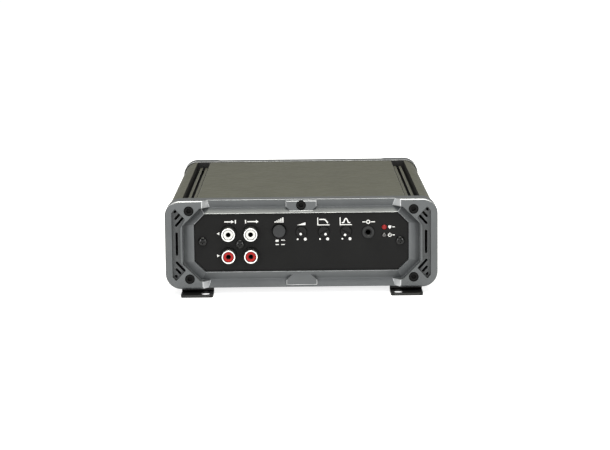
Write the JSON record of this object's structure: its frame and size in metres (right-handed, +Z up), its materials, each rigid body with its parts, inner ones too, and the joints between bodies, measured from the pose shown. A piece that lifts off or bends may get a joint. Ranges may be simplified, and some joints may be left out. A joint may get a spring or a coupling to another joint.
{
  "type": "car amplifier",
  "caption": "Compact car amplifier: finned heatsink body between cast end frames, control end with phono sockets, trimmers and push switch, slotted steel feet.",
  "frame": {"origin": "centre of the footprint, on the surface that the four feet stand on", "axes": "+Z up, +Y from the control end towards the terminal end, +X to the right as the control end is looked at"},
  "size_m": [0.168, 0.2252, 0.059],
  "materials": {
    "cast_frame": "fine satin metallic grey",
    "anodised_shell": "fine satin, warm grey",
    "control_plate": "matt black",
    "black_steel": "black oxide",
    "bright_metal": "nickel plated",
    "black_plastic": "moulded",
    "grey_plastic": "moulded",
    "white_plastic": "moulded",
    "red_plastic": "moulded",
    "red_lens": "clear gloss",
    "dark_lens": "clear gloss",
    "fuse_plastic": "translucent moulded",
    "circuit_board": "solder mask",
    "copper_winding": "enamelled wire",
    "capacitor_sleeve": "shrink sleeve"
  },
  "bodies": {
    "chassis": {"boost_pot_case": "black_plastic", "bottom_cover": "black_steel", "control_circuit_board": "circuit_board", "crossover_pot_case": "black_plastic", "filter_capacitor": "capacitor_sleeve", "foot_front_left": "black_steel", "foot_front_right": "black_steel", "foot_rear_left": "black_steel", "foot_rear_right": "black_steel", "foot_screw_front_left": "black_steel", "foot_screw_front_right": "black_steel", "foot_screw_rear_left": "black_steel", "foot_screw_rear_right": "black_steel", "front_control_panel": "control_plate", "front_end_frame": "cast_frame", "front_frame_screw_bottom_left": "black_steel", "front_frame_screw_bottom_right": "black_steel", "front_frame_screw_top_centre": "black_steel", "front_frame_screw_top_left": "black_steel", "front_frame_screw_top_right": "black_steel", "fuse_1": "fuse_plastic", "fuse_2": "fuse_plastic", "gain_pot_case": "black_plastic", "heatsink_body": "anodised_shell", "level_switch_body": "black_plastic", "main_circuit_board": "circuit_board", "output_inductor": "copper_winding", "panel_screw_left": "black_steel", "panel_screw_middle": "black_steel", "panel_screw_right": "black_steel", "power_led": "dark_lens", "power_terminal": "black_plastic", "power_terminal_screw_1": "black_steel", "power_terminal_screw_2": "black_steel", "power_terminal_screw_3": "black_steel", "power_toroid": "copper_winding", "protect_led": "red_lens", "rca_housing": "black_plastic", "rca_insert_input_red": "red_plastic", "rca_insert_input_white": "white_plastic", "rca_insert_output_red": "red_plastic", "rca_insert_output_white": "white_plastic", "rca_shell_input_red": "bright_metal", "rca_shell_input_white": "bright_metal", "rca_shell_output_red": "bright_metal", "rca_shell_output_white": "bright_metal", "rear_end_frame": "cast_frame", "rear_frame_screw_bottom_left": "black_steel", "rear_frame_screw_bottom_right": "black_steel", "rear_frame_screw_top_left": "black_steel", "rear_frame_screw_top_right": "black_steel", "rear_terminal_panel": "control_plate", "remote_jack": "grey_plastic", "speaker_terminal": "black_plastic", "speaker_terminal_screw_1": "black_steel", "speaker_terminal_screw_2": "black_steel"},
    "level_button": {"level_button": "grey_plastic"},
    "gain_pot_rotor": {"gain_pot_rotor": "black_plastic"},
    "crossover_pot_rotor": {"crossover_pot_rotor": "black_plastic"},
    "boost_pot_rotor": {"boost_pot_rotor": "black_plastic"}
  },
  "joints": [
    {"name": "level_button_press", "type": "slide", "parent": "chassis", "child": "level_button", "axis": [0, 1, 0], "range_m": [0, 0.002], "stiffness_N_per_m": 250},
    {"name": "gain_turn", "type": "hinge", "parent": "chassis", "child": "gain_pot_rotor", "pos_m": [0, -0.101, 0.0386], "axis": [0, 1, 0], "range_deg": [0, 300]},
    {"name": "crossover_turn", "type": "hinge", "parent": "chassis", "child": "crossover_pot_rotor", "pos_m": [0.0138, -0.101, 0.0386], "axis": [0, 1, 0], "range_deg": [-300, 0]},
    {"name": "boost_turn", "type": "hinge", "parent": "chassis", "child": "boost_pot_rotor", "pos_m": [0.0276, -0.101, 0.0386], "axis": [0, 1, 0], "range_deg": [0, 300]}
  ]
}
